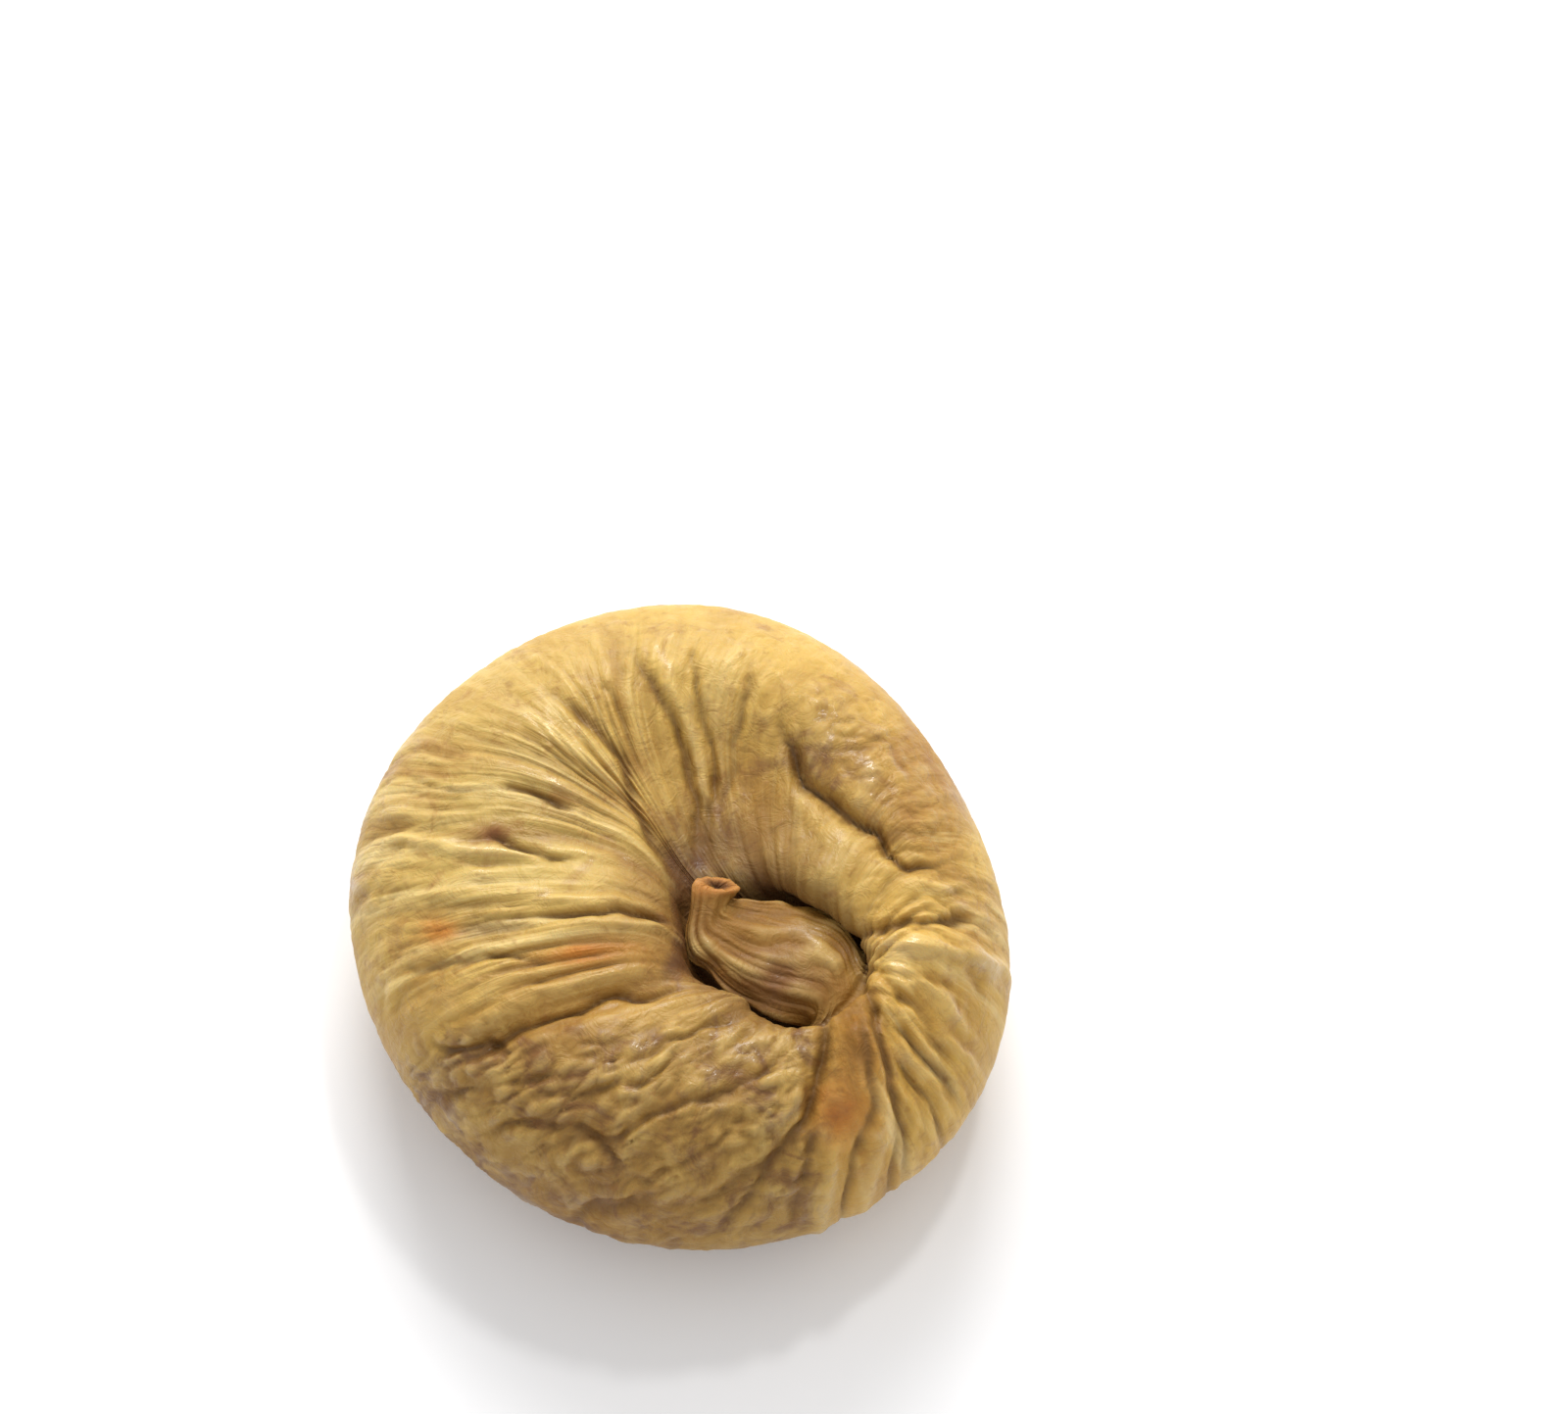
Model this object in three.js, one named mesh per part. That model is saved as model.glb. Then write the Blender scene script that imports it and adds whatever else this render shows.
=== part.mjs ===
// A dried fig: one whole Smyrna-type fig, dried in the sun and pressed by hand into a thick disc.
// It lies on its eye, the small scaly opening at the blossom end. The skin rolls over a thick rim
// into a pit on the stalk side. The neck rises from the right of the pit, folds over and lies
// across it, and ends in the cut stub of the stalk. The fruit grew as one piece, so it is one solid.
//
// Millimetres, +Z up. The origin is on the table under the middle of the fruit. The stalk side
// faces up, and the neck's stub points to -X and +Y.

import * as THREE from "three";

const RADIUS = 24; // the disc's mean radius
const THICK = 18; // the rim's crest above the table
const AROUND = 72; // facets round the fruit
const STEPS_PER_RING = 2.4; // rows of facets between two named rings
const ROLL = 125; // the skin line that ends up under the neck, as a compass angle

// The skin is a tube of rings carried from the eye to the stalk. Each ring is an ellipse:
//   at    its centre
//   wide  its half-width across the way the neck points
//   deep  its half-width along that way
//   lean  how far the ring's face leans from straight up towards that way, in degrees
//   aim   that way, as a compass angle from +X towards +Y, in degrees
const flat = (at, radius) => ({ at, wide: radius, deep: radius, lean: 0, aim: ROLL });
const RINGS = {
  eye_floor: flat([0.6, -0.4, 1.9], 0),
  eye_lip: flat([0.6, -0.4, 1.1], 1.9),
  eye_edge: flat([0.4, -0.3, 0], 4.2),
  seat: flat([0, 0, 0], 0.42 * RADIUS),
  seat_edge: flat([0, 0, 0.1], 0.66 * RADIUS),
  heel: flat([0, 0, 0.12 * THICK], 0.87 * RADIUS),
  low_rim: flat([0, 0, 0.31 * THICK], 0.975 * RADIUS),
  rim: flat([0, 0, 0.51 * THICK], RADIUS),
  shoulder: flat([0, 0, 0.76 * THICK], 0.93 * RADIUS),
  outer_crest: flat([0.4, -0.2, 0.93 * THICK], 0.79 * RADIUS),
  crest: flat([1.8, -0.6, THICK], 0.63 * RADIUS),
  inner_crest: { at: [4.3, -2.2, 0.96 * THICK], wide: 9.4, deep: 10.2, lean: 2, aim: 136 },
  pit_mouth: { at: [6.2, -4.7, 15.6], wide: 6.3, deep: 7.4, lean: 8, aim: 140 },
  pit_wall: { at: [7.5, -5.6, 13.85], wide: 5.9, deep: 6.1, lean: 20, aim: 138 },
  pit_floor: { at: [8.9, -6.4, 12.75], wide: 5.0, deep: 4.6, lean: 40, aim: 140 },
  neck_root: { at: [10.1, -7.0, 12.8], wide: 3.9, deep: 3.6, lean: 66, aim: 146 },
  fold: { at: [10.1, -6.2, 14.0], wide: 3.9, deep: 2.2, lean: 84, aim: 160 },
  flap: { at: [7.9, -5.4, 14.6], wide: 4.2, deep: 1.5, lean: 94, aim: 161 },
  flap_middle: { at: [5.4, -4.6, 14.5], wide: 3.9, deep: 1.4, lean: 95, aim: 160 },
  neck: { at: [2.9, -3.3, 14.6], wide: 2.9, deep: 1.25, lean: 86, aim: 152 },
  stalk: { at: [2.0, -2.5, 14.9], wide: 2.4, deep: 1.0, lean: 74, aim: 140 },
  stub: { at: [2.2, -1.0, 15.5], wide: 1.7, deep: 0.85, lean: 58, aim: 108 },
  cut_lip: { at: [2.5, 0.0, 16.0], wide: 1.5, deep: 0.85, lean: 42, aim: 82 },
  cut_floor: { at: [2.4, -0.15, 15.3], wide: 0, deep: 0, lean: 42, aim: 82 },
};

// The disc isn't round: each row is a share of its radius by which so many bulges stand out, and
// the compass angle of the first of them.
const OUTLINE = [
  { bulges: 2, share: 0.038, aim: -54 },
  { bulges: 3, share: 0.014, aim: -46 },
  { bulges: 4, share: 0.009, aim: -19 },
];

// Broad swellings and hollows of the upper side: where, how wide and how high.
const SWELLINGS = {
  left_lobe: { at: [-4.6, -3.0], reach: 4.2, rise: 1.3 },
  left_shoulder: { at: [-6.0, -1.0], reach: 6.0, rise: 0.4 },
  far_funnel: { at: [2.0, 8.5], reach: 5.8, rise: -2.4 },
  lower_lobe: { at: [-1, -13.5], reach: 5.0, rise: 0.6 },
  stub_nest: { at: [1.6, 2.2], reach: 2.6, rise: -1.2 },
  right_wedge: { at: [11.6, 1.0], reach: 3.0, rise: 0.9 },
};

// Creases and ridges of the upper side: the line each follows, its half-width and its rise.
const FOLDS = {
  lower_left_crease: {
    along: [[-0.3, -8.3], [-5, -9.2], [-10, -10.7], [-16, -12.6]],
    half: 1.1,
    rise: -0.75,
  },
  ridge: { along: [[13.6, -18.5], [12.6, -13.5], [12.0, -10.4]], half: 1.5, rise: 1.4 },
  left_of_ridge: { along: [[9.6, -12.5], [9.2, -15], [8, -18.5]], half: 0.9, rise: -0.5 },
  right_of_ridge: { along: [[14.8, -9], [15.2, -12], [16.4, -16]], half: 1.1, rise: -0.5 },
  right_bend: {
    along: [[7.4, 10.5], [8.6, 7.3], [11.9, 4.4], [14.5, 1.9], [17.6, 0.7]],
    half: 0.85,
    rise: -0.7,
  },
  right_bar: { along: [[14, -4.6], [18, -5.2], [22, -4.9]], half: 1.1, rise: 0.6 },
  left_brow: { along: [[-4.8, 6.0], [-2.4, 1.0], [-1.8, -3.0], [-1.9, -7.4]], half: 1.5, rise: 0.9 },
};

const names = Object.keys(RINGS);
const rings = Object.values(RINGS);
const columns = rings.map((r) => [...r.at, r.wide, r.deep, r.lean, r.aim]);
const FIRST_UPPER = names.indexOf("shoulder");
const LAST_DISC = names.indexOf("pit_mouth");
const radians = THREE.MathUtils.degToRad;

// The ring at a place between two named rings, by a Catmull-Rom curve through each of its numbers.
function ringAt(place) {
  const i = Math.min(Math.floor(place), columns.length - 2);
  const t = place - i;
  const [a, b, c, d] = [i - 1, i, i + 1, i + 2].map(
    (k) => columns[THREE.MathUtils.clamp(k, 0, columns.length - 1)],
  );
  return b.map(
    (_, k) =>
      0.5 *
      (2 * b[k] + (c[k] - a[k]) * t + (2 * a[k] - 5 * b[k] + 4 * c[k] - d[k]) * t * t +
        (3 * b[k] - a[k] - 3 * c[k] + d[k]) * t * t * t),
  );
}

// 1 on the disc, falling to 0 where the skin turns into the neck.
function discShare(place) {
  return 1 - THREE.MathUtils.smoothstep(place, LAST_DISC - 1, LAST_DISC + 1);
}

// A point of the smooth skin, before its swellings and creases.
function bareSkin(place, angle) {
  const [x, y, z, wide, deep, leanDegrees, aimDegrees] = ringAt(place);
  const lean = radians(leanDegrees);
  const aim = radians(aimDegrees);
  const turn = angle - radians(ROLL);
  const bulge = OUTLINE.reduce(
    (sum, o) => sum + o.share * Math.cos(o.bulges * (angle - radians(o.aim))),
    0,
  );
  const outline = 1 + discShare(place) * bulge;
  const along = Math.max(deep, 0) * Math.cos(turn) * outline;
  const across = Math.max(wide, 0) * Math.sin(turn) * outline;
  return new THREE.Vector3(
    x + along * Math.cos(aim) * Math.cos(lean) - across * Math.sin(aim),
    y + along * Math.sin(aim) * Math.cos(lean) + across * Math.cos(aim),
    z - along * Math.sin(lean),
  );
}

// How far a plan point is from a line of plan points.
function distanceToLine(x, y, line) {
  const point = new THREE.Vector3(x, y, 0);
  const nearest = new THREE.Vector3();
  let least = Infinity;
  for (let i = 1; i < line.length; i++) {
    const span = new THREE.Line3(new THREE.Vector3(...line[i - 1], 0), new THREE.Vector3(...line[i], 0));
    span.closestPointToPoint(point, true, nearest);
    least = Math.min(least, nearest.distanceTo(point));
  }
  return least;
}

// How far the skin stands out from the smooth one, along its normal.
function relief(place, point) {
  const share = THREE.MathUtils.smoothstep(place, FIRST_UPPER - 1, FIRST_UPPER + 1) * discShare(place);
  if (share === 0) return 0;
  let out = 0;
  for (const s of Object.values(SWELLINGS)) {
    const away = Math.hypot(point.x - s.at[0], point.y - s.at[1]) / s.reach;
    out += s.rise * Math.exp(-away * away);
  }
  for (const c of Object.values(FOLDS)) {
    const away = distanceToLine(point.x, point.y, c.along) / c.half;
    out += c.rise * Math.exp(-away * away);
  }
  return out * share;
}

// A point of the finished skin. What would go below the table is pressed flat on it.
function skin(place, angle) {
  const point = bareSkin(place, angle);
  const step = 1e-3;
  const onward = bareSkin(place + step, angle).sub(bareSkin(place - step, angle));
  const around = bareSkin(place, angle + step).sub(bareSkin(place, angle - step));
  const normal = around.cross(onward).normalize();
  point.addScaledVector(normal, relief(place, point));
  point.z = Math.max(point.z, 0);
  return point;
}

// The closed skin: a pole at the eye, rows of points from ring to ring, and a pole in the cut stub.
function figGeometry() {
  const last = rings.length - 1;
  const rows = Math.round(last * STEPS_PER_RING);
  const points = [bareSkin(0, 0)];
  for (let row = 1; row < rows; row++) {
    for (let k = 0; k < AROUND; k++) {
      points.push(skin((row * last) / rows, (k * 2 * Math.PI) / AROUND));
    }
  }
  points.push(bareSkin(last, 0));
  const at = (row, k) => 1 + (row - 1) * AROUND + (k % AROUND);
  const faces = [];
  for (let k = 0; k < AROUND; k++) {
    faces.push(0, at(1, k + 1), at(1, k));
    faces.push(points.length - 1, at(rows - 1, k), at(rows - 1, k + 1));
    for (let row = 1; row < rows - 1; row++) {
      faces.push(at(row, k), at(row, k + 1), at(row + 1, k + 1));
      faces.push(at(row, k), at(row + 1, k + 1), at(row + 1, k));
    }
  }
  return new THREE.BufferGeometry().setFromPoints(points).setIndex(faces);
}

const fig = new THREE.Mesh(
  figGeometry(),
  new THREE.MeshStandardMaterial({ color: 0xb98d4f, roughness: 0.55, metalness: 0 }),
);
fig.name = "fig";
fig.geometry.computeBoundingBox();
const middle = fig.geometry.boundingBox.getCenter(new THREE.Vector3());
fig.position.set(-middle.x, -middle.y, 0);

const group = new THREE.Group();
group.add(fig);
export default group;
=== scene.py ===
import itertools
import math

import bpy
import numpy as np
from mathutils import Matrix, Vector


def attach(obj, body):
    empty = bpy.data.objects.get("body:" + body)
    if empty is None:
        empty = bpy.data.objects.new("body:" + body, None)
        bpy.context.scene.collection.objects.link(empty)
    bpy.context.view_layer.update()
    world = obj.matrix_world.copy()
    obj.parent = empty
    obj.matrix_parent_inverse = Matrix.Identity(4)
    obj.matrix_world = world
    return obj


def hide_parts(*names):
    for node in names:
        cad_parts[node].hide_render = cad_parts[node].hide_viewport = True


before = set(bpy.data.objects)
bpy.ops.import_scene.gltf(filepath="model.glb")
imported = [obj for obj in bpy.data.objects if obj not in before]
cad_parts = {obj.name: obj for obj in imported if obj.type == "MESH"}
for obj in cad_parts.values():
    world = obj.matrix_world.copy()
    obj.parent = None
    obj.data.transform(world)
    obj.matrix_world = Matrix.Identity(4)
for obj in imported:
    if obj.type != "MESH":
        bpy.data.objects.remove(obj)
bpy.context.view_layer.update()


# ---------------------------------------------------------------------------------------------
# The fig: one whole dried fruit, pressed into a thick disc that lies on its eye. Its skin is one
# closed surface, carried as a tube of rings from the eye, over the rim and down into the pit, then
# up the folded neck to the cut stub. It grew as one piece, so nothing is fixed to it.
# ---------------------------------------------------------------------------------------------

MM = 0.001
RADIUS = 24.0  # the disc's mean radius, mm
THICK = 18.0  # the rim's crest above the table, mm
AROUND = 580  # points round the fruit
ROLL = math.radians(125)  # the skin line that ends up under the neck
TIP = math.radians(135)  # compass angle of the neck's tip, seen from the middle of the pit

# One row for each named ring, in mm and degrees: centre x, y and z, half-width across the neck's
# way, half-width along it, lean and compass angle of that way. The last number is how many rows of
# points follow.
RINGS = np.array([
    (0.6, -0.4, 1.9, 0, 0, 0, 125, 3),  # floor of the eye
    (0.6, -0.4, 1.1, 1.9, 1.9, 0, 125, 4),  # lip of the eye
    (0.4, -0.3, 0, 4.2, 4.2, 0, 125, 5),  # edge of the eye's dimple
    (0, 0, 0, 0.42 * RADIUS, 0.42 * RADIUS, 0, 125, 5),  # flat seat
    (0, 0, 0.1, 0.66 * RADIUS, 0.66 * RADIUS, 0, 125, 8),  # edge of the seat
    (0, 0, 0.12 * THICK, 0.87 * RADIUS, 0.87 * RADIUS, 0, 125, 8),  # heel
    (0, 0, 0.31 * THICK, 0.975 * RADIUS, 0.975 * RADIUS, 0, 125, 9),  # lower rim
    (0, 0, 0.51 * THICK, RADIUS, RADIUS, 0, 125, 12),  # rim
    (0, 0, 0.76 * THICK, 0.93 * RADIUS, 0.93 * RADIUS, 0, 125, 15),  # shoulder
    (0.4, -0.2, 0.93 * THICK, 0.79 * RADIUS, 0.79 * RADIUS, 0, 125, 15),  # outer crest
    (1.8, -0.6, THICK, 0.63 * RADIUS, 0.63 * RADIUS, 0, 125, 14),  # crest
    (4.3, -2.2, 0.96 * THICK, 9.4, 10.2, 2, 136, 14),  # inner crest
    (6.2, -4.7, 15.6, 6.3, 7.4, 8, 140, 10),  # mouth of the pit
    (7.5, -5.6, 13.85, 5.9, 6.1, 20, 138, 6),  # wall of the pit
    (8.9, -6.4, 12.75, 5.0, 4.6, 40, 140, 5),  # floor of the pit
    (10.1, -7.0, 12.8, 3.9, 3.6, 66, 146, 5),  # root of the neck
    (10.1, -6.2, 14.0, 3.9, 2.2, 84, 160, 6),  # fold of the neck
    (7.9, -5.4, 14.6, 4.2, 1.5, 94, 161, 6),  # flap
    (5.4, -4.6, 14.5, 3.9, 1.4, 95, 160, 5),  # middle of the flap
    (2.9, -3.3, 14.6, 2.9, 1.25, 86, 152, 4),  # neck
    (2.0, -2.5, 14.9, 2.4, 1.0, 74, 140, 4),  # stalk
    (2.2, -1.0, 15.5, 1.7, 0.85, 58, 108, 4),  # stub
    (2.5, 0.0, 16.0, 1.5, 0.85, 42, 82, 4),  # lip of the cut
    (2.4, -0.15, 15.3, 0, 0, 42, 82, 0),  # floor of the cut
])
# The places of those rings that the relief and the masks go by.
EYE_EDGE, SEAT_EDGE, RIM, SHOULDER, CREST = 2, 4, 7, 8, 10
PIT_MOUTH, PIT_FLOOR, FOLD, STALK, CUT_FLOOR = 12, 14, 16, 20, 23

# Bulges of the outline: how many, their share of the radius, compass angle of the first in degrees.
OUTLINE = ((2, 0.038, -54), (3, 0.014, -46), (4, 0.009, -19))

# Broad swellings and hollows of the upper side: x, y, reach and rise in mm.
SWELLINGS = (
    (-4.6, -3.0, 4.2, 1.3),  # lobe left of the pit, whose wall is steep
    (-6.0, -1.0, 6.0, 0.4),  # shoulder behind that lobe
    (2.0, 8.5, 5.8, -2.4),  # funnel on the far side
    (-1.0, -13.5, 5.0, 0.6),  # lower lobe
    (1.6, 2.2, 2.6, -1.2),  # nest of the stub
    (11.6, 1.0, 3.0, 0.9),  # wedge right of the pit
)

# Creases and ridges: the plan line, half-width and rise, in mm.
FOLDS = (
    (((-0.3, -8.3), (-5, -9.2), (-10, -10.7), (-16, -12.6)), 1.1, -0.75),  # long crease, lower left
    (((13.6, -18.5), (12.6, -13.5), (12.0, -10.4)), 1.5, 1.4),  # ridge from the fold
    (((9.6, -12.5), (9.2, -15), (8, -18.5)), 0.9, -0.5),  # left of the ridge
    (((14.8, -9), (15.2, -12), (16.4, -16)), 1.1, -0.5),  # right of the ridge
    (((7.4, 10.5), (8.6, 7.3), (11.9, 4.4), (14.5, 1.9), (17.6, 0.7)), 0.85, -0.7),  # bent crease
    (((14, -4.6), (18, -5.2), (22, -4.9)), 1.1, 0.6),  # bar on the right
    (((-4.8, 6.0), (-2.4, 1.0), (-1.8, -3.0), (-1.9, -7.4)), 1.5, 0.9),  # brow of the left lobe
)

# Narrow creases and crests, written the same way: down the funnel, over the left bands, beside the
# neck, out to the right, and over the lower side.
FINE_FOLDS = (
    (((-9.6, 14.2), (-7.6, 12.5), (-4.0, 9.3), (-2.4, 3.8), (-1.0, 0.9)), 0.42, -0.60),
    (((-6.6, 15.4), (-5.6, 13.9), (-4.0, 11.5), (-2.4, 7.5)), 0.3, -0.32),
    (((-3.4, 18.0), (-2.6, 16.1), (-0.4, 11.4), (1.6, 6.2), (1.2, 1.8)), 0.36, -0.50),
    (((-2.0, 18.0), (-1.2, 15.1), (0.5, 11.6), (2.1, 6.6)), 0.5, 0.30),
    (((0.6, 18.0), (0.9, 16.1), (1.6, 12.6), (2.6, 7.7), (1.9, 1.8)), 0.32, -0.42),
    (((5.0, 16.5), (4.4, 13.5), (3.8, 9.0), (2.8, 5.0)), 0.32, -0.30),
    (((-13.8, 3.1), (-11.4, 2.2), (-9.2, 1.1), (-7.2, 1.1)), 0.3, -0.66),
    (((-17.6, -11.4), (-15.8, -12.1), (-13.6, -11.9), (-11.8, -12.8)), 0.3, -0.60),
    (((0.5, 0.2), (0.2, -2.5), (0.4, -5.5), (1.2, -7.8)), 0.8, -0.7),
    (((7.0, 11.8), (7.4, 10.5), (8.6, 7.3), (11.9, 4.4), (13.7, 3.1), (14.5, 1.7), (16.2, 0.6),
      (18.6, 0.7)), 0.28, -0.85),
    (((12.6, -4.3), (15.2, -3.8), (17.7, -3.3), (20.5, -3.2)), 0.36, -0.60),
    (((13.4, -5.1), (15.8, -5.6), (18.1, -5.7), (21.5, -5.4), (23.8, -4.7)), 0.5, 0.40),
    (((14.2, -6.6), (17.1, -8.3), (20.3, -10.4)), 0.5, 0.35),
    (((13.6, -7.4), (16.4, -9.8), (18.6, -12.6)), 0.4, -0.45),
    (((12.9, -6.9), (16.2, -7.6), (19.4, -8.2)), 0.35, -0.35),
    (((12.8, -8.2), (13.6, -11.7), (15.1, -17.0), (15.8, -19.6)), 0.42, -0.70),
    (((10.1, -10.9), (9.6, -13.9), (8.6, -17.7), (7.6, -19.3)), 0.42, -0.70),
    (((-0.3, -8.4), (-5, -9.1), (-9.6, -10.7), (-13, -12.0), (-16.0, -13.4)), 0.28, -0.62),
    (((-10.4, -19.0), (-8.8, -19.0), (-4.4, -18.6), (-0.9, -17.5), (3.5, -15.2)), 0.3, -0.38),
    (((-4.1, -21.3), (0.1, -20.5), (2.2, -19.4), (5.0, -17.2)), 0.3, -0.38),
    (((0.7, -23.0), (4.5, -21.2), (7.9, -19.2)), 0.3, -0.38),
    (((-11.5, -15.2), (-7.2, -16.2), (-3.0, -15.4), (0.6, -13.2)), 0.3, -0.3),
    (((-7.0, -13.6), (-2.5, -13.4), (1.5, -11.6), (5.2, -11.2)), 0.3, -0.3),
    (((1.2, -16.8), (4.6, -14.8), (7.4, -12.6)), 0.3, -0.3),
    (((-14.5, -17.0), (-10.5, -17.2), (-6.5, -18.4), (-3.5, -20.6)), 0.32, -0.45),
    (((-18.0, -14.0), (-15.5, -14.9), (-12.0, -14.4), (-8.0, -14.9)), 0.3, -0.4),
    (((2.2, -24.4), (5.2, -21.6), (8.6, -17.4)), 0.34, -0.45),
    (((-8.6, -23.0), (-4.4, -22.0), (-1.0, -21.8)), 0.34, -0.45),
    (((-22.0, 3.6), (-16.0, 2.2), (-10.0, 1.4), (-4.0, 1.3)), 0.5, 0.38),
    (((-20.0, -1.5), (-13.0, -1.4), (-7.0, -2.2), (-2.2, -2.4)), 0.5, 0.34),
    (((-9.5, -3.1), (-5.0, -3.2), (-1.6, -3.4)), 0.28, -0.55),
    (((-10.0, -4.0), (-5.0, -4.1), (-1.8, -4.3)), 0.45, 0.3),
    (((-19.5, -6.2), (-14.0, -6.0), (-9.0, -6.7)), 0.3, -0.42),
    (((-12.8, 6.7), (-10.4, 6.2), (-8.0, 5.0)), 0.28, -0.55),
    (((12.3, -10.5), (12.6, -13.5), (12.9, -16.6), (12.6, -18.6)), 0.35, -0.45),
    (((9.4, -18.0), (8.5, -20.4), (7.4, -23.2)), 0.34, -0.45),
    (((10.8, -18.2), (10.1, -20.8), (9.2, -23.2)), 0.42, 0.32),
    (((12.5, -17.8), (12.0, -20.2), (11.2, -22.6)), 0.32, -0.45),
    (((13.5, -17.6), (13.3, -19.8), (12.9, -21.9)), 0.36, 0.28),
    (((14.5, -17.2), (14.7, -19.2), (14.5, -21.4)), 0.3, -0.4),
    (((15.3, -13.4), (17.0, -15.1), (18.8, -17.2)), 0.32, -0.45),
    (((15.2, -12.2), (17.4, -14.0), (19.6, -16.0)), 0.4, 0.32),
    (((14.9, -11.0), (17.4, -12.9), (20.0, -14.6)), 0.32, -0.45),
    (((15.0, -9.6), (17.9, -11.2), (21.2, -12.6)), 0.4, 0.3),
)

# Patches, each a bell: x, y, reach in x, reach in y, all in mm, and strength.
PATCHES = {
    "lips": (  # where the pit's mouth leans in over the neck, in mm
        (3.8, -9.8, 4.6, 2.6, 1.9),  # below the flap
        (9.2, 0.4, 4.4, 2.6, 1.9),  # above it
        (12.6, -2.4, 1.8, 1.8, 0.8),  # right of the fold
        (0.2, -4.6, 1.7, 3.2, 0.9),  # left of the stalk
    ),
    "wet": (  # crumpled skin that syrup has soaked
        (11.0, 9.0, 4.6, 4.6, 1.0),
        (-15.2, -12.2, 2.6, 1.4, 1.0),
        (12.8, -5.6, 1.6, 1.6, 1.0),
        (1.6, -5.0, 1.6, 2.6, 0.8),
        (2.0, -11.5, 3.5, 2.0, 0.7),
    ),
    "pale_and_lit": (  # paler skin, partly painted light on the left band, the wedge right of the pit and the far rim
        (-13.0, 5.0, 12.0, 11.0, 0.9),
        (17.0, -3.0, 6.0, 8.0, 0.45),
        (10.8, 2.2, 3.0, 3.0, 0.7),
        (0.0, 19.0, 14.0, 6.0, 0.4),
    ),
    "brown_and_pit_shade": (  # painted shade round the pit and in the throat above the stub, and browner skin up the funnel and on its far right
        (5.0, -8.0, 7.0, 6.0, 0.7),
        (5.0, 4.0, 5.0, 5.0, 0.35),
        (1.2, 3.2, 3.0, 3.8, 0.6),
        (9.4, 9.4, 4.6, 4.2, 0.8),
    ),
    "gold": (  # clear ochre, lower right and far rim
        (15.0, -10.0, 9.0, 11.0, 1.0),
        (6.0, 16.0, 14.0, 7.0, 0.3),
    ),
    "amber": (  # orange stains: foot of the ridge, left edge, left of the pit
        (10.9, -17.0, 2.0, 1.8, 1.0),
        (-17.0, -3.9, 1.5, 0.8, 0.95),
        (-6.8, -6.0, 2.8, 0.8, 0.95),
    ),
    "ridge_stain": ((11.8, -13.5, 1.4, 3.2, 0.35),),  # fainter orange, up the ridge
    "rust": ((10.8, -16.6, 1.3, 1.1, 1.0),),  # the ridge stain's dark middle
    "scar": ((-13.4, 3.1, 1.5, 0.9, 1.0),),  # healed nick on the left band
    "neck_shade": (  # painted shade on the neck: lower edge of the flap, foot of the stalk
        (6.4, -7.2, 3.4, 1.9, 1.0),
        (1.0, -3.4, 1.0, 3.0, 0.6),
    ),
}


def ring_at(place):
    """Every number of the ring at a place, by a Catmull-Rom curve through the named rings' numbers."""
    i = np.minimum(place.astype(int), len(RINGS) - 2)
    t = (place - i)[..., None]
    a, b, c, d = (RINGS[np.clip(i + k, 0, len(RINGS) - 1), :7] for k in (-1, 0, 1, 2))
    curve = 2 * b + (c - a) * t + (2 * a - 5 * b + 4 * c - d) * t**2
    return 0.5 * (curve + (3 * b - a - 3 * c + d) * t**3)


def ease(value, low, high):
    """0 below low, 1 above high, and a smooth S between them: 3t^2 - 2t^3."""
    t = np.clip((value - low) / (high - low), 0, 1)
    return t * t * (3 - 2 * t)


def drawn_to_tip(angle):
    """Where a skin line from the rim meets the pit: lines draw together at the neck's tip. The
    shift is minus a share of the angle from the tip, under a bell, wider on the far side."""
    off = np.mod(angle - TIP + np.pi, 2 * np.pi) - np.pi
    width = np.where(off < 0, math.radians(100), math.radians(45))
    return angle - 0.85 * off * np.exp(-(off / width) ** 2) * np.cos(off / 2) ** 2


def bare_skin(place, angle):
    """The smooth skin: an ellipse of the ring at the place, turned to its compass angle and leant
    over. On the disc a skin line keeps its own compass angle, until it draws to the neck's tip."""
    x, y, z, wide, deep, lean, aim = np.moveaxis(ring_at(place), -1, 0)
    lean, aim = np.radians(lean), np.radians(aim)
    on_disc = 1 - ease(place, PIT_MOUTH - 1, PIT_MOUTH + 1)
    outline = 1 + on_disc * sum(s * np.cos(n * (angle - math.radians(a))) for n, s, a in OUTLINE)
    drawn = ease(place, CREST - 1.5, PIT_MOUTH) * (1 - ease(place, PIT_FLOOR, FOLD))
    on_neck = ease(place, PIT_FLOOR, FOLD)
    turn = angle + drawn * (drawn_to_tip(angle) - angle) - (aim + (ROLL - aim) * on_neck)
    along = np.maximum(deep, 0) * np.cos(turn) * outline
    across = np.maximum(wide, 0) * np.sin(turn) * outline
    return np.stack([
        x + along * np.cos(aim) * np.cos(lean) - across * np.sin(aim),
        y + along * np.sin(aim) * np.cos(lean) + across * np.cos(aim),
        z - along * np.sin(lean),
    ], -1)


LATTICE = np.random.default_rng(11).uniform(-1, 1, (64, 64, 64))


def cloud(x, y, z, layer=0):
    """Smooth noise from -1 to 1: random values on a unit lattice, mixed from the eight corners of
    each cell by weights 3t^2 - 2t^3. Each layer is another part of the lattice."""
    p = np.stack(np.broadcast_arrays(x, y, z), -1) + 13.37 * layer + 1000
    cell = np.floor(p).astype(int)
    t = p - cell
    t = t * t * (3 - 2 * t)
    total = 0
    for corner in itertools.product((0, 1), repeat=3):
        weight = np.prod(np.where(corner, t, 1 - t), -1)
        i, j, k = np.moveaxis((cell + corner) % 64, -1, 0)
        total = total + weight * LATTICE[i, j, k]
    return total


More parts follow.
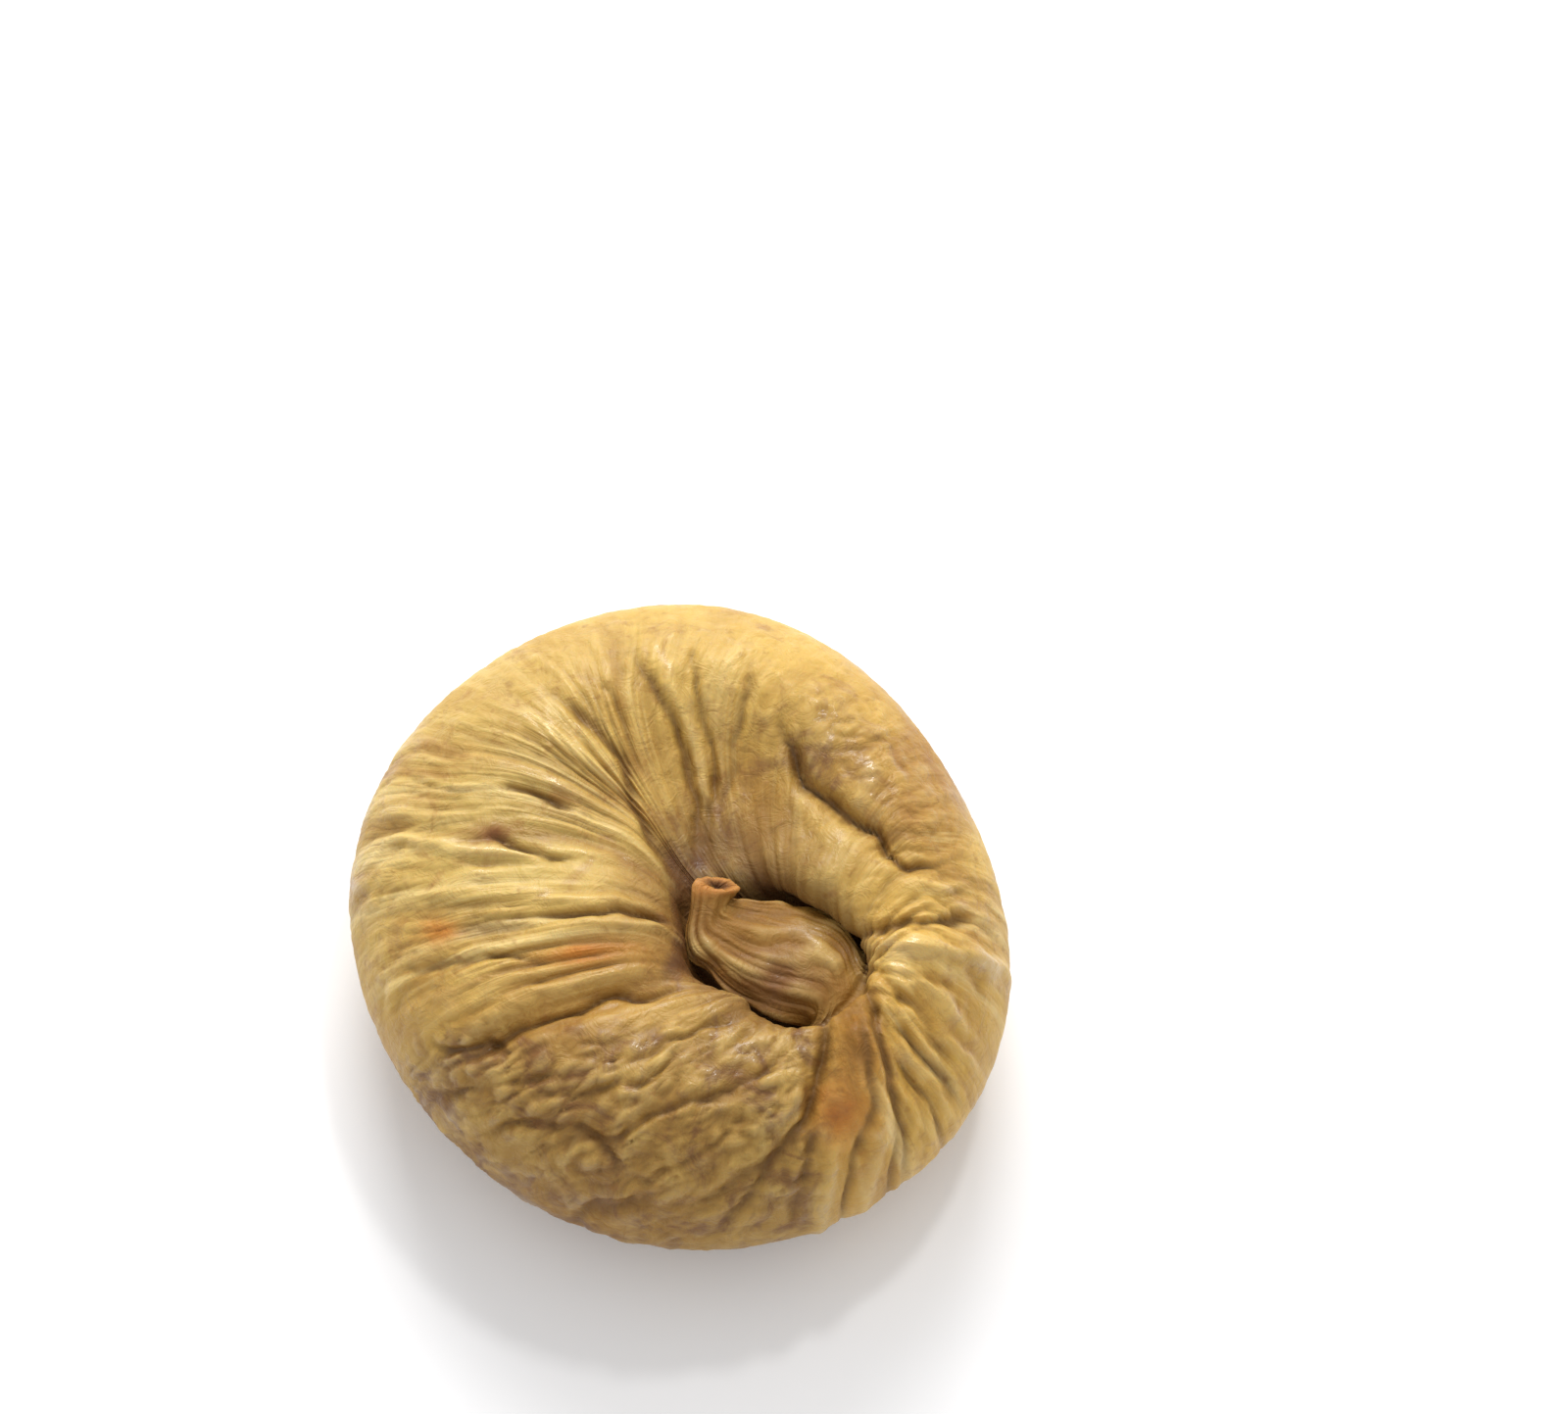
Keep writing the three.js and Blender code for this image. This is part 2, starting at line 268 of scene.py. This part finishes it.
def near_line(x, y, line, half):
    """exp(-(distance / half)^2) from a broken plan line, thinner towards its two ends."""
    line = np.array(line, float)
    least = np.full(x.shape, np.inf)
    taper = np.ones(x.shape)
    lengths = np.hypot(*np.diff(line, axis=0).T)
    start = np.concatenate([[0], np.cumsum(lengths)])
    for (ax, ay), (bx, by), length, before in zip(line[:-1], line[1:], lengths, start):
        t = np.clip(((x - ax) * (bx - ax) + (y - ay) * (by - ay)) / length**2, 0, 1)
        away = np.hypot(x - ax - t * (bx - ax), y - ay - t * (by - ay))
        run = (before + t * length) / start[-1]
        taper = np.where(away < least, np.minimum(1, 5 * np.minimum(run, 1 - run) + 0.15), taper)
        least = np.minimum(least, away)
    return taper * np.exp(-(least / half) ** 2)


def pleats(place, angle, spacing, stretch, layer):
    """Pleats that run with the skin from rim to pit: the absolute value of noise laid round a
    cylinder, so that hills are round and the creases between them are sharp."""
    wander = angle + 0.07 * cloud(4 * np.cos(angle), 4 * np.sin(angle), place * 0.9, layer + 9)
    r = RADIUS / spacing
    return np.abs(cloud(r * np.cos(wander), r * np.sin(wander), place * stretch, layer)) ** 0.85


def blob(x, y, centre_x, centre_y, reach, reach_y=None):
    """exp(-(distance / reach)^2) from a plan point, with a reach of its own in y where it is given."""
    return np.exp(-((x - centre_x) / reach) ** 2 - ((y - centre_y) / (reach_y or reach)) ** 2)


def patched(name, x, y):
    """The named patches' bells, each times its strength, added up."""
    return sum(
        strength * blob(x, y, centre_x, centre_y, reach, reach_y)
        for centre_x, centre_y, reach, reach_y, strength in PATCHES[name]
    )


def fig_skin():
    """The grid of skin points, and the masks that its finish reads: each row of points is one ring
    of the fruit, and each point is pushed along its normal by the swellings, folds and pleats."""
    steps = RINGS[:-1, 7].astype(int)
    places = np.concatenate([i + np.arange(n) / n for i, n in enumerate(steps)])[1:]
    place, angle = np.meshgrid(places, np.arange(AROUND) * 2 * np.pi / AROUND, indexing="ij")
    bare = bare_skin(place, angle)
    step = 1e-3
    onward = bare_skin(place + step, angle) - bare_skin(place - step, angle)
    around = bare_skin(place, angle + step) - bare_skin(place, angle - step)
    normal = np.cross(around, onward)
    normal /= np.linalg.norm(normal, axis=-1, keepdims=True)

    x, y, _ = np.moveaxis(bare, -1, 0)
    upper = ease(place, SHOULDER - 1, SHOULDER + 1) * (1 - ease(place, PIT_MOUTH - 1, PIT_MOUTH + 1))
    broad = sum(rise * blob(x, y, sx, sy, reach) for sx, sy, reach, rise in SWELLINGS)
    broad = broad + sum(rise * near_line(x, y, line, half) for line, half, rise in FOLDS)

    # The pit's mouth leans in over the neck, above it and below it.
    at_mouth = np.exp(-((place - PIT_MOUTH + 0.15) / 0.75) ** 2)
    lips = at_mouth * patched("lips", x, y)

    # The plan, unrolled: below the crest a point moves out as far as the skin runs, so that what is
    # laid on the plan isn't drawn out down the sides.
    seat, outer_crest = 3, 9
    run_over_radius = (4.7, 2.64, 1.73, 1.37, 1.18, 1.05, 1)  # at each ring from the seat outwards
    unroll = np.interp(place, range(seat, outer_crest + 1), run_over_radius)
    ux, uy = x * unroll, y * unroll

    # The plan is bent a little, so that no listed crease runs straight.
    bent_x = x + 0.45 * cloud(x / 2.2, y / 2.2, 0, 1) + 0.2 * cloud(x / 0.9, y / 0.9, 0, 2)
    bent_y = y + 0.45 * cloud(x / 2.2, y / 2.2, 0, 3) + 0.2 * cloud(x / 0.9, y / 0.9, 0, 4)
    reach_in = ease(place, RIM - 2, RIM + 0.4) * (1 - ease(place, PIT_MOUTH, PIT_MOUTH + 1))
    fine = sum(rise * near_line(bent_x, bent_y, line, half) for line, half, rise in FINE_FOLDS)

    # Shares of the sides of the fruit, each from 0 to 1, by which the wrinkles below are weighed.
    left = ease(-x, 0, 7) * ease(y, -12, -7) * (1 - 0.6 * ease(y, 8, 14))
    lower = ease(-y, 9.5, 13) * (1 - ease(x, 8, 12))
    funnel = blob(x, y, 1.5, 8.5, 9.0, 8.0)
    right = ease(x, 11, 15) * (1 - lower)
    outer = ease(place, RIM - 2.5, RIM) * (1 - ease(place, SHOULDER, CREST))
    under = (1 - ease(place, SEAT_EDGE, RIM - 0.5)) * ease(place, EYE_EDGE - 0.5, EYE_EDGE + 1)
    neck = ease(place, PIT_FLOOR, FOLD - 0.3)
    shoulder_up = ease(place, RIM, SHOULDER + 0.4)
    sides = 0.3 * ease(place, SEAT_EDGE, RIM) + 0.7 * shoulder_up
    sides = sides * (1 - ease(place, PIT_MOUTH - 1, PIT_MOUTH + 1))
    smooth_rim = 0.75 * ease(y, 0, 12) * outer * (1 - ease(-x, 8, 16))
    patch = (0.75 + 0.55 * cloud(x / 3.5, y / 3.5, 0, 5)) * (1 - smooth_rim)

    # The wrinkles themselves. The means are taken off, so that the skin keeps its place.
    pleat_mean, wrinkle_mean, crumple_mean = 0.32, 0.28, 0.42
    wide_pleats = pleats(place, angle, 2.1, 0.42, 21)
    mid_pleats = pleats(place, angle, 1.15, 0.65, 22)
    thin_pleats = pleats(place, angle, 0.65, 1.1, 23)
    slant_u = (bent_y * 0.93 - bent_x * 0.36) * unroll
    slant_v = (bent_x * 0.93 + bent_y * 0.36) * unroll
    wavy = np.abs(cloud(slant_v / 4.4, slant_u / 1.0 + 0.35 * np.sin(slant_v / 1.7), 0, 24))
    wavy_thin = np.abs(cloud(slant_v / 1.5, slant_u / 0.52, 0, 25))
    lumps = cloud(ux / 1.3, uy / 1.3, 0, 26)
    crumple = np.abs(cloud(ux / 1.1, uy / 1.1, 0, 29))
    crumple = crumple + 0.5 * np.abs(cloud(ux / 0.5, uy / 0.5, 0, 30))

    # Where the skin turns up into the neck it is stretched smooth.
    bend = 1 - blob(x, y, 11.3, -8.4, 1.9)
    pleat_share = 0.32 + 0.55 * left + 0.38 * right + 0.15 * funnel
    # Where the pleats draw together towards the pit, fewer of them are left.
    drawn = ease(place, CREST - 1.2, PIT_MOUTH - 0.4)
    radial = pleat_share * patch * (1 - 0.75 * lower) * (
        (0.58 + 0.35 * drawn) * (wide_pleats - pleat_mean)
        + (0.64 - 0.4 * drawn) * (mid_pleats - pleat_mean)
        + (0.32 - 0.28 * drawn) * (thin_pleats - pleat_mean)
    )
    radial = radial * bend * (1 - neck) * (0.3 + 0.7 * ease(place, RIM, CREST - 0.6))
    slanted = 0.31 * (wavy - wrinkle_mean) + 0.34 * (wavy_thin - wrinkle_mean)
    slanted = slanted * lower * (0.25 * ease(place, SEAT_EDGE, RIM) + 0.75 * sides)
    wet = np.clip(patched("wet", x, y), 0, 1)
    crumpled = (0.14 + 0.22 * wet + 0.09 * lower) * sides * (crumple - crumple_mean)
    bumpy = (0.10 + 0.06 * lower) * reach_in * lumps * blob(x, y, 2, -6, 13, 11)
    underside = -under * (0.5 * (0.5 - mid_pleats) + 0.25 * (0.5 - thin_pleats))

    # Ridges along the neck, weaker on the stalk: noise laid round the neck's own cylinder.
    neck_radius, wide_ridge, thin_ridge = 3.6, 1.45, 1.45 / 2.3
    wide, thin = neck_radius / wide_ridge, neck_radius / thin_ridge
    neck_lines = np.abs(cloud(wide * np.cos(angle), wide * np.sin(angle), place * 0.55, 27))
    neck_thin = np.abs(cloud(thin * np.cos(angle), thin * np.sin(angle), place * 0.8, 28))
    on_neck = 0.54 * (neck_lines - wrinkle_mean) + 0.22 * (neck_thin - wrinkle_mean) + 0.3 * lumps
    on_neck = on_neck * neck * bend * (1 - 0.6 * ease(place, STALK - 1, STALK + 1))

    # Small scales round the eye, in rows that wind inwards.
    scale_turn = angle * 3 + 1.1 * place
    scales = (1 - ease(place, EYE_EDGE - 0.7, EYE_EDGE + 0.3)) * ease(place, 0.3, 1)
    eye = scales * (0.45 * np.abs(np.sin(scale_turn)) - 0.25 + 0.12 * lumps)

    detail = reach_in * fine + radial + slanted + crumpled + bumpy + underside + on_neck + eye
    point = bare + normal * (upper * broad + lips + detail)[..., None]
    point[..., 2] = np.maximum(point[..., 2], 0)

    # The strap of neck skin that runs on down the ridge, and the painted shade of the gap left of the
    # neck and of the hollow that the stub stands in.
    strap_line = ((10.9, -5.5), (11.5, -8.6), (11.9, -11.2), (12.2, -15.0))
    strap = near_line(bent_x, bent_y, strap_line, 1.5)
    gap = ease(bent_x, -2.1, -0.9) * (1 - ease(x, 1.5, 3))
    gap = gap * ease(bent_y, -8.6, -6.6) * (1 - ease(y, 2, 5))
    shade = np.maximum(gap, 0.75 * blob(x, y, 2.4, 2.7, 3.4, 2.7))
    pit = np.maximum(ease(place, PIT_MOUTH - 1.1, PIT_MOUTH + 0.6), shade)
    amber = patched("amber", bent_x, bent_y) + patched("ridge_stain", x, y)
    pleated = (0.25 + 0.75 * left + 0.4 * funnel + 0.45 * right) * patch * (1 - 0.85 * lower)
    masks = {
        # the finish paints shade in the creases by this mask
        "crease": np.clip(-detail / 0.5, 0, 1),
        # and paints a highlight on the crowns by this one
        "crown": np.clip(detail / 0.4, 0, 1),
        "neck": np.maximum(neck, strap),
        # painted shade inside the pit's mouth, in the gap left of the neck and round the stub
        "pit": pit * (1 - neck) * (1 - strap),
        "cut": ease(place, CUT_FLOOR - 1.9, CUT_FLOOR - 1.2),
        # painted shade inside the cut stub
        "stub_hollow_shade": ease(place, CUT_FLOOR - 0.85, CUT_FLOOR - 0.3),
        "eye": 1 - ease(place, EYE_EDGE - 0.6, EYE_EDGE + 0.5),
        # paler patches: partly the skin's own paler tone, partly painted light
        "pale_and_lit": np.clip(patched("pale_and_lit", x, y), 0, 1),
        # browner towards the near side and in patches; round the pit and in the throat above the stub
        # it is painted shade
        "brown_and_pit_shade": np.clip(0.85 * lower + patched("brown_and_pit_shade", x, y), 0, 1),
        "amber": np.clip(amber, 0, 1) * ease(place, RIM - 1.5, RIM),
        "gold": np.clip(patched("gold", x, y), 0, 1),
        "wet": wet,
        # painted shade on the neck
        "neck_shade": neck * np.clip(patched("neck_shade", x, y), 0, 1),
        "rust": patched("rust", bent_x, bent_y) * upper,
        "scar": patched("scar", bent_x, bent_y) * upper,
        "pleated": bend * (1 - 0.65 * drawn) * np.clip(pleated, 0, 1),
    }
    line = np.stack([np.cos(angle) * RADIUS, np.sin(angle) * RADIUS, place * 4.0], -1)
    return bare_skin(np.array([0.0]), np.array([0.0]))[0], point, masks, line


def skin_mesh(name, eye_pole, point, stub_pole):
    """A closed mesh from a grid of rings: quads between the rings, which close on themselves, and a
    fan of triangles to a pole at each end. Faces are wound so that they point outwards."""
    rows, columns = point.shape[:2]
    corners = np.concatenate([[eye_pole], point.reshape(-1, 3), [stub_pole]])
    grid = 1 + np.arange(rows * columns).reshape(rows, columns)
    here, beside = grid, np.roll(grid, -1, axis=1)
    quads = np.stack([here[:-1], beside[:-1], beside[1:], here[1:]], -1).reshape(-1, 4)
    foot = np.stack([np.zeros(columns, int), beside[0], here[0]], -1)
    head = np.stack([np.full(columns, len(corners) - 1), here[-1], beside[-1]], -1)
    mesh = bpy.data.meshes.new(name)
    mesh.from_pydata(corners * MM, [], foot.tolist() + quads.tolist() + head.tolist())
    mesh.polygons.foreach_set("use_smooth", np.ones(len(mesh.polygons), bool))
    mesh.update()
    return mesh


def add_mask(mesh, name, values, kind="FLOAT"):
    """Stores one number, or one vector, for each point. The two poles take their neighbours'."""
    values = values.reshape(len(mesh.vertices) - 2, -1)
    values = np.concatenate([values[:1], values, values[-1:]])
    layer = mesh.attributes.new(name, kind, "POINT")
    layer.data.foreach_set("vector" if kind == "FLOAT_VECTOR" else "value", values.ravel())


eye_pole, skin, skin_masks, skin_line = fig_skin()
stub_pole = bare_skin(np.array([float(CUT_FLOOR)]), np.array([0.0]))[0]
middle = (skin.min(axis=(0, 1)) + skin.max(axis=(0, 1))) / 2
middle[2] = 0
fig_mesh = skin_mesh("fig_skin", eye_pole - middle, skin - middle, stub_pole - middle)
for mask_name, mask_values in skin_masks.items():
    add_mask(fig_mesh, mask_name, mask_values)
add_mask(fig_mesh, "skin_line", skin_line, "FLOAT_VECTOR")
fig = bpy.data.objects.new("fig_skin", fig_mesh)
bpy.context.scene.collection.objects.link(fig)


class Socket:
    """A socket of a material. Sums, differences and products add their own Math nodes."""

    def __init__(self, tree, out=None):
        self.tree, self.out = tree, out

    def node(self, kind, settings=None, inputs=None, out=0):
        """Adds a node: its settings are set first, then its sockets take values or links."""
        made = self.tree.nodes.new(kind)
        for name, value in (settings or {}).items():
            setattr(made, name, value)
        for name, value in (inputs or {}).items():
            if isinstance(value, Socket):
                self.tree.links.new(value.out, made.inputs[name])
            else:
                made.inputs[name].default_value = value
        return Socket(self.tree, made.outputs[out] if made.outputs else None)

    def maths(self, operation, *values, clamp=False):
        """A Math node on numbers and sockets."""
        settings = {"operation": operation, "use_clamp": clamp}
        return self.node("ShaderNodeMath", settings, dict(enumerate(values)))

    def __add__(self, other):
        return self.maths("ADD", self, other)

    __radd__ = __add__

    def __sub__(self, other):
        return self.maths("SUBTRACT", self, other)

    def __rsub__(self, other):
        return self.maths("SUBTRACT", other, self)

    def __mul__(self, other):
        return self.maths("MULTIPLY", self, other)

    __rmul__ = __mul__

    def held(self):
        """The value, kept from 0 to 1."""
        return self.maths("ADD", self, 0.0, clamp=True)

    def tint(self, factor, colour):
        """This colour, mixed towards another by a factor."""
        return self.mix(factor, self, colour)

    def mix(self, factor, first, second):
        """A Mix node on colours, whose factor is socket 0, colours 6 and 7, and result 2."""
        inputs = {0: factor, 6: first, 7: second}
        return self.node("ShaderNodeMix", {"data_type": "RGBA"}, inputs, out=2)


def paint(red, green, blue):
    """A colour as a maker picks it on a screen, 0 to 255, in the linear light that shaders use:
    ((share + 0.055) / 1.055)^2.4. No colour here is dark enough to need the straight part."""
    linear = [((c / 255 + 0.055) / 1.055) ** 2.4 for c in (red, green, blue)]
    return (*linear, 1.0)


def fig_finish():
    """Dried skin: ochre, browner on the neck, with painted shade in the creases and the pit and
    painted highlight on the crowns, paler in patches that are partly painted light, with amber stains,
    a satin face and a thin waxy gloss on the crowns of the wrinkles."""
    material = bpy.data.materials.new("dried_fig_skin")
    material.use_nodes = True
    tree = material.node_tree
    tree.nodes.clear()
    s = Socket(tree)

    def mask(name):
        """A mask that the mesh carries."""
        return s.node("ShaderNodeAttribute", {"attribute_name": name}, out="Fac")

    def noise(vector, scale, detail=3.0, roughness=0.55, distortion=0.0):
        """Cloudy noise, 0 to 1."""
        inputs = {"Vector": vector, "Scale": scale, "Detail": detail}
        inputs.update({"Roughness": roughness, "Distortion": distortion})
        return s.node("ShaderNodeTexNoise", {}, inputs)

    # Noise in the fruit's own space, and noise drawn out along the pleats.
    place = s.node("ShaderNodeTexCoord", out="Object")
    along_skin = s.node("ShaderNodeAttribute", {"attribute_name": "skin_line"}, out="Vector")
    stretch = {0: along_skin, 1: (1, 1, 0.16)}
    stretched = s.node("ShaderNodeVectorMath", {"operation": "MULTIPLY"}, stretch)
    mottle = noise(place, 190, 4)
    patches = noise(place, 75, 3, 0.5, 0.6)
    specks = noise(place, 1000, 2)
    bands = noise(stretched, 0.42, 3, 0.55, 0.5)
    stains = noise(place, 260, 5, 0.65, 1.2)
    crinkle = s.maths("ABSOLUTE", noise(place, 620, 3, 0.6, 0.8) - 0.5) * 3.0
    threads = noise(stretched, 1.7, 3, 0.6)
    furrows = s.maths("ABSOLUTE", noise(stretched, 1.1, 2, 0.5) - 0.5) * 4.0
    pleated = mask("pleated")

    crease, crown, neck = mask("crease"), mask("crown"), mask("neck")

    # The colour, laid on in coats: the ochre ground, bands along the pleats with some painted
    # highlight and shade, stains, the neck with painted shade on it, and last the painted shade of the
    # pit and the creases, and the painted highlight on the crowns.
    ochre, light_ochre = paint(162, 118, 50), paint(202, 164, 82)
    bronze, cream, brown_stain = paint(146, 98, 40), paint(230, 206, 142), paint(104, 68, 38)
    colour = s.mix(((patches - 0.38) * 4.0).held(), ochre, light_ochre)
    # Paler patches, partly the skin's own tone and partly painted light.
    colour = colour.tint((mask("pale_and_lit") * (0.35 + patches)).held(), paint(191, 165, 94))
    colour = colour.tint((mask("gold") * (0.3 + patches)).held(), paint(200, 157, 70))
    # Browner towards the near side and in patches: painted shade round the pit and in the throat,
    # browner skin up the funnel.
    colour = colour.tint((mask("brown_and_pit_shade") * (0.45 + mottle * 0.6)).held(), paint(137, 102, 49))
    light_threads = ((threads - 0.55) * 4.0).held() * (pleated * 0.5 + 0.1)
    dark_threads = ((0.46 - threads) * 4.0).held() * (pleated * 0.3 + 0.1)
    # Bands along the pleats: partly the skin's streaky tone, partly painted highlight in the pale
    # bands and painted shade in the dark ones.
    dark_bands_and_shade = ((0.50 - bands) * 5.0).held() * (pleated * 0.75 + 0.12)
    light_bands_and_highlight = ((bands - 0.54) * 6.0).held() * (pleated * 0.85 + 0.12)
    colour = colour.tint(light_threads, paint(226, 198, 130))
    colour = colour.tint(dark_threads, bronze)
    # The bands: painted shade in the dark ones and painted highlight in the pale ones, over the skin's
    # streaky tone.
    colour = colour.tint(dark_bands_and_shade, paint(152, 110, 50))
    colour = colour.tint(light_bands_and_highlight, cream)
    colour = colour.tint(((stains - 0.54) * 7.0).held() * 0.55, bronze)
    colour = colour.tint(((0.44 - stains) * 7.0).held() * 0.30, paint(214, 178, 98))
    colour = colour.tint((0.38 - furrows).held() * pleated * 0.9, paint(150, 108, 50))
    colour = colour.tint((mask("amber") * (0.2 + mottle * 1.2)).held(), paint(186, 112, 32))
    colour = colour.tint((mask("rust") * (mottle * 2.2 - 0.3)).held(), paint(134, 68, 34))
    colour = colour.tint(mask("scar") * 0.95, paint(120, 66, 36))
    colour = colour.tint((neck * (0.65 + threads * 0.4)).held(), paint(134, 91, 31))
    # Painted shade on the neck: the lower edge of the flap and the foot of the stalk.
    colour = colour.tint((mask("neck_shade") * (0.2 + mottle)).held(), paint(104, 64, 36))
    colour = colour.tint(((stains - 0.48) * 6.0).held() * mask("brown_and_pit_shade") * 0.85, brown_stain)
    # Painted shade in the pit, in the gap left of the neck and in the hollow round the stub.
    colour = colour.tint((mask("pit") * 0.88).held(), paint(86, 52, 32))
    # Painted shade in the creases.
    colour = colour.tint((crease * 0.8).held(), paint(106, 72, 32))
    # Painted highlight on the crowns of the wrinkles, stronger on the paler patches.
    colour = colour.tint((crown * (mask("pale_and_lit") * 0.25 + 0.36)).held(), paint(224, 195, 122))
    colour = colour.tint(((specks - 0.62) * 7.0).held() * 0.4, paint(128, 80, 34))
    colour = colour.tint(mask("cut") * 0.6, paint(198, 134, 70))
    # Painted shade inside the cut stub.
    colour = colour.tint(mask("stub_hollow_shade") * 0.9, paint(66, 38, 24))
    colour = colour.tint(mask("eye") * 0.85, paint(92, 44, 28))

    # The face: satin, waxier on the crowns and where syrup has soaked through, with a fine grain.
    roughness = (0.50 + neck * 0.08 + (mottle - 0.5) * 0.7 - crown * 0.12 + crease * 0.06).held()
    wax = ((stains - 0.45) * 5.0).held() * (crown * 0.8 + mask("wet") * 0.35 + 0.10)
    grain = (threads * 0.2 + furrows.held() * 0.25) * pleated
    grain = grain + crinkle * 0.26 + mottle * 0.34 + specks * 0.15
    bump = s.node("ShaderNodeBump", {}, {"Height": grain, "Strength": 0.6, "Distance": 0.0006})
    shader = s.node("ShaderNodeBsdfPrincipled", {}, {
        "Base Color": colour,
        "Roughness": roughness,
        "Normal": bump,
        "IOR": 1.46,
        "Specular IOR Level": 0.28,
        "Subsurface Weight": 0.15,
        "Subsurface Radius": (1.0, 0.45, 0.15),
        "Subsurface Scale": 0.001,  # metres
        "Coat Weight": wax * (1.0 - neck * 0.5),
        "Coat Roughness": 0.14,
    })
    s.node("ShaderNodeOutputMaterial", {}, {"Surface": shader})
    return material


fig_mesh.materials.append(fig_finish())
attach(fig, "root")
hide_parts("fig")


# ---------------------------------------------------------------------------------------------
# The table it lies on: a wide plain white board, finished matt, that is no part of the fruit.
# ---------------------------------------------------------------------------------------------

TABLE_SIZE = 3.0  # metres
GAP = 0.0001  # so that the board and the flat seat don't share a plane

table_mesh = bpy.data.meshes.new("white_board")
half = TABLE_SIZE / 2
corners = [(-half, -half, -GAP), (half, -half, -GAP), (half, half, -GAP), (-half, half, -GAP)]
table_mesh.from_pydata(corners, [], [(0, 1, 2, 3)])
table = bpy.data.objects.new("white_board", table_mesh)
bpy.context.scene.collection.objects.link(table)
board = bpy.data.materials.new("white_board")
board.use_nodes = True
board_face = board.node_tree.nodes["Principled BSDF"].inputs
board_face["Base Color"].default_value = (0.95, 0.95, 0.96, 1)
board_face["Roughness"].default_value = 0.9
table_mesh.materials.append(board)


# ---------------------------------------------------------------------------------------------
# The light: a broad soft lamp high on the far side and a little to the left, and a small one beside
# it for the waxy highlights, in a white room that fills the shade. Sizes are in metres, powers in
# watts.
# ---------------------------------------------------------------------------------------------

MIDDLE = Vector((0, 0, 0.009))  # halfway up the fruit, metres


def lamp(name, size, power, place):
    """A square white lamp that faces the fruit."""
    light = bpy.data.lights.new(name, "AREA")
    light.size, light.energy = size, power
    holder = bpy.data.objects.new(name, light)
    facing = (Vector(place) - MIDDLE).to_track_quat("Z", "Y").to_matrix().to_4x4()
    holder.matrix_world = Matrix.Translation(place) @ facing
    bpy.context.scene.collection.objects.link(holder)


lamp("key", 0.24, 2.15, (-0.02, 0.41, 0.30))
lamp("glint", 0.04, 0.4, (0.10, 0.24, 0.42))
room = bpy.data.worlds.new("white_room")
room.use_nodes = True
room_light = room.node_tree.nodes["Background"].inputs
room_light["Color"].default_value = (1, 1, 1, 1)
room_light["Strength"].default_value = 0.78
bpy.context.scene.world = room
bpy.context.scene.view_settings.view_transform = "Standard"


# ---------------------------------------------------------------------------------------------
# The camera: it looks down on the stalk side from the front, with the fruit left of the middle of
# the frame and low in it.
# ---------------------------------------------------------------------------------------------

DISTANCE = 0.24  # metres from the fruit's middle
ELEVATION = math.radians(70)
PITCH, YAW = math.radians(3.62), math.radians(1.81)  # how far the frame's middle is above and right
FILM, FOCAL = 36, 75.6  # mm

lens = bpy.data.cameras.new("camera")
lens.sensor_width, lens.lens = FILM, FOCAL
camera = bpy.data.objects.new("camera", lens)
stand = MIDDLE + DISTANCE * Vector((0, -math.cos(ELEVATION), math.sin(ELEVATION)))
tilt = Matrix.Rotation(math.pi / 2 - ELEVATION, 4, "X")
turn = Matrix.Rotation(-YAW, 4, "Y") @ Matrix.Rotation(PITCH, 4, "X")
camera.matrix_world = Matrix.Translation(stand) @ tilt @ turn
bpy.context.scene.collection.objects.link(camera)
bpy.context.scene.camera = camera
